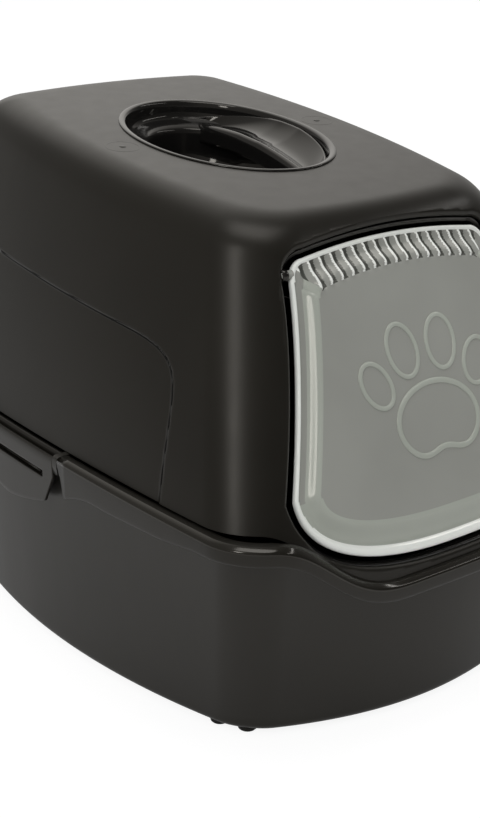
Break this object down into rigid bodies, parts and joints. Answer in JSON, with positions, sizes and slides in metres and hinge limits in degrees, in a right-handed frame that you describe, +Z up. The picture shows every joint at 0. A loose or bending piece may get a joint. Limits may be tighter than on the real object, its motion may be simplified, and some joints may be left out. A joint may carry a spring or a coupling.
{
  "type": "hooded cat litter box",
  "caption": "Deep litter tray with a clip-on leaning hood, a see-through swing door, side clips and a recessed roof handle.",
  "frame": {"origin": "middle of the base on the floor", "axes": "-Y is the front with the door, +X is to the right when facing +Y, +Z is up"},
  "size_m": [0.394, 0.559, 0.3899],
  "materials": {
    "tray_plastic": "charcoal black polypropylene, satin",
    "foot_rubber": "black rubber",
    "hood_plastic": "charcoal black polypropylene, satin",
    "handle_plastic": "high-gloss black plastic",
    "frame_plastic": "black plastic, smooth",
    "flap_plastic": "smoke grey see-through plastic with raised relief",
    "clip_plastic": "black plastic, smooth"
  },
  "bodies": {
    "tray": {"base_tray": "tray_plastic", "feet": "foot_rubber"},
    "hood": {"hood": "hood_plastic", "handle_insert": "handle_plastic", "door_frame": "frame_plastic"},
    "flap": {"door_flap": "flap_plastic"},
    "left_clip": {"left_clip": "clip_plastic"},
    "right_clip": {"right_clip": "clip_plastic"}
  },
  "joints": [
    {"name": "hood_lift", "type": "slide", "parent": "tray", "child": "hood", "axis": [0, 0, 1], "range_m": [0, 0.05]},
    {"name": "flap_swing", "type": "hinge", "parent": "hood", "child": "flap", "pos_m": [0, -0.1865, 0.317], "axis": [1, 0, 0], "range_deg": [-70, 80]},
    {"name": "left_clip_swing", "type": "hinge", "parent": "hood", "child": "left_clip", "pos_m": [-0.1932, 0.015, 0.165], "axis": [0, 1, 0], "range_deg": [0, 100]},
    {"name": "right_clip_swing", "type": "hinge", "parent": "hood", "child": "right_clip", "pos_m": [0.1932, 0.015, 0.165], "axis": [0, -1, 0], "range_deg": [0, 100]}
  ],
  "couplings": [
    {"joint": "left_clip_swing", "follows": "hood_lift", "rad_per_m": 34.9},
    {"joint": "right_clip_swing", "follows": "hood_lift", "rad_per_m": 34.9}
  ]
}
